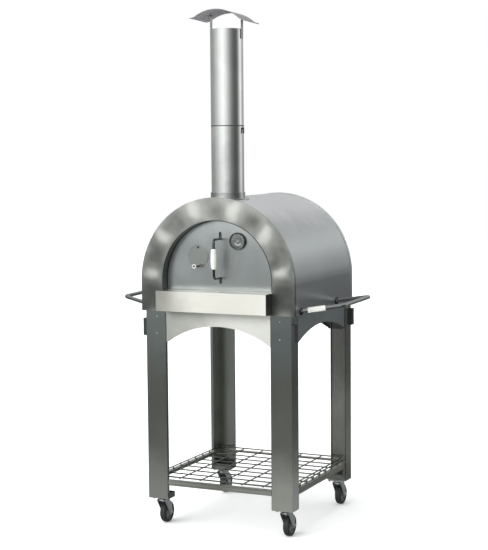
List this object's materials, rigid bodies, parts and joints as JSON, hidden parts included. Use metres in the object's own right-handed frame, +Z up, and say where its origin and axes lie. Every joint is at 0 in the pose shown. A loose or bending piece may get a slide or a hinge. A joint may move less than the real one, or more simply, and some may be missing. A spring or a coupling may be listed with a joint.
{
  "type": "wood fired pizza oven",
  "caption": "Arched wood fired pizza oven with chimney, lift-off door and front shelf, on a tall wheeled stand with a wire log shelf.",
  "frame": {"origin": "floor level under the middle of the outline", "axes": "+X to the oven's right as seen from the front, +Y from the front to the back, +Z up"},
  "size_m": [1.1366, 0.8465, 2.3748],
  "materials": {
    "leg_steel": "brushed",
    "panel_steel": "brushed",
    "hidden_steel": "brushed",
    "wire_steel": "satin",
    "dark_steel": "satin",
    "polished_steel": "polished",
    "zinc": "satin",
    "tyre_rubber": "matt",
    "wheel_centre": "satin",
    "white_grip": "gloss",
    "insulation": "matt",
    "fire_brick": "matt",
    "dial_face": "satin",
    "needle": "satin",
    "clear_glass": "clear"
  },
  "bodies": {
    "oven": {"leg_front_left": "leg_steel", "leg_front_right": "leg_steel", "leg_back_left": "leg_steel", "leg_back_right": "leg_steel", "apron_front": "panel_steel", "apron_back": "panel_steel", "apron_left": "panel_steel", "apron_right": "panel_steel", "shelf_sockets": "dark_steel", "castor_pans": "hidden_steel", "stand_screws": "polished_steel", "log_shelf_frame": "hidden_steel", "log_shelf_wires": "wire_steel", "log_shelf_rim": "wire_steel", "castor_plates": "zinc", "base_pan": "panel_steel", "insulation_board": "insulation", "floor_bricks": "fire_brick", "inner_vault": "hidden_steel", "insulation_blanket": "insulation", "outer_shell": "panel_steel", "front_fascia": "panel_steel", "door_frame": "panel_steel", "front_shelf": "panel_steel", "rear_panel": "panel_steel", "flue_collar": "panel_steel", "lower_flue": "panel_steel", "upper_flue": "panel_steel", "rain_cap": "panel_steel", "cap_straps": "dark_steel", "side_rail_left": "polished_steel", "side_rail_right": "polished_steel", "rail_grip": "white_grip"},
    "door": {"door_panel": "panel_steel", "door_insulation": "insulation", "door_liner": "hidden_steel", "handle_rod": "polished_steel", "handle_grip": "white_grip", "thermometer_case": "polished_steel", "thermometer_lens": "clear_glass", "thermometer_dial": "dial_face", "vent_rivet": "polished_steel"},
    "vent": {"vent_flap": "panel_steel", "vent_knob": "polished_steel"},
    "needle": {"thermometer_needle": "needle"},
    "damper": {"damper": "dark_steel"},
    "castor_front_left": {"fork_front_left": "zinc"},
    "wheel_front_left": {"tyre_front_left": "tyre_rubber", "hub_front_left": "wheel_centre"},
    "castor_front_right": {"fork_front_right": "zinc"},
    "wheel_front_right": {"tyre_front_right": "tyre_rubber", "hub_front_right": "wheel_centre"},
    "castor_back_left": {"fork_back_left": "zinc"},
    "wheel_back_left": {"tyre_back_left": "tyre_rubber", "hub_back_left": "wheel_centre"},
    "castor_back_right": {"fork_back_right": "zinc"},
    "wheel_back_right": {"tyre_back_right": "tyre_rubber", "hub_back_right": "wheel_centre"}
  },
  "joints": [
    {"name": "door_lift_off", "type": "slide", "parent": "oven", "child": "door", "axis": [0, -1, 0], "range_m": [0, 0.3]},
    {"name": "vent_swing", "type": "hinge", "parent": "door", "child": "vent", "pos_m": [-0.112, -0.312, 1.307], "axis": [0, 1, 0], "range_deg": [-85, 85]},
    {"name": "needle_turn", "type": "hinge", "parent": "door", "child": "needle", "pos_m": [0.09, -0.317, 1.338], "axis": [0, 1, 0], "range_deg": [0, 270], "stiffness_Nm_per_rad": 0.002},
    {"name": "damper_turn", "type": "hinge", "parent": "oven", "child": "damper", "pos_m": [0, -0.224, 1.843], "axis": [1, 0, 0], "range_deg": [0, 90]},
    {"name": "swivel_front_left", "type": "hinge", "parent": "oven", "child": "castor_front_left", "pos_m": [-0.315, -0.302, 0.11], "axis": [0, 0, 1], "continuous": true},
    {"name": "roll_front_left", "type": "hinge", "parent": "castor_front_left", "child": "wheel_front_left", "pos_m": [-0.315, -0.266, 0.05], "axis": [1, 0, 0], "continuous": true},
    {"name": "swivel_front_right", "type": "hinge", "parent": "oven", "child": "castor_front_right", "pos_m": [0.315, -0.302, 0.11], "axis": [0, 0, 1], "continuous": true},
    {"name": "roll_front_right", "type": "hinge", "parent": "castor_front_right", "child": "wheel_front_right", "pos_m": [0.315, -0.266, 0.05], "axis": [1, 0, 0], "continuous": true},
    {"name": "swivel_back_left", "type": "hinge", "parent": "oven", "child": "castor_back_left", "pos_m": [-0.315, 0.337, 0.11], "axis": [0, 0, 1], "continuous": true},
    {"name": "roll_back_left", "type": "hinge", "parent": "castor_back_left", "child": "wheel_back_left", "pos_m": [-0.315, 0.373, 0.05], "axis": [1, 0, 0], "continuous": true},
    {"name": "swivel_back_right", "type": "hinge", "parent": "oven", "child": "castor_back_right", "pos_m": [0.315, 0.337, 0.11], "axis": [0, 0, 1], "continuous": true},
    {"name": "roll_back_right", "type": "hinge", "parent": "castor_back_right", "child": "wheel_back_right", "pos_m": [0.315, 0.373, 0.05], "axis": [1, 0, 0], "continuous": true}
  ]
}
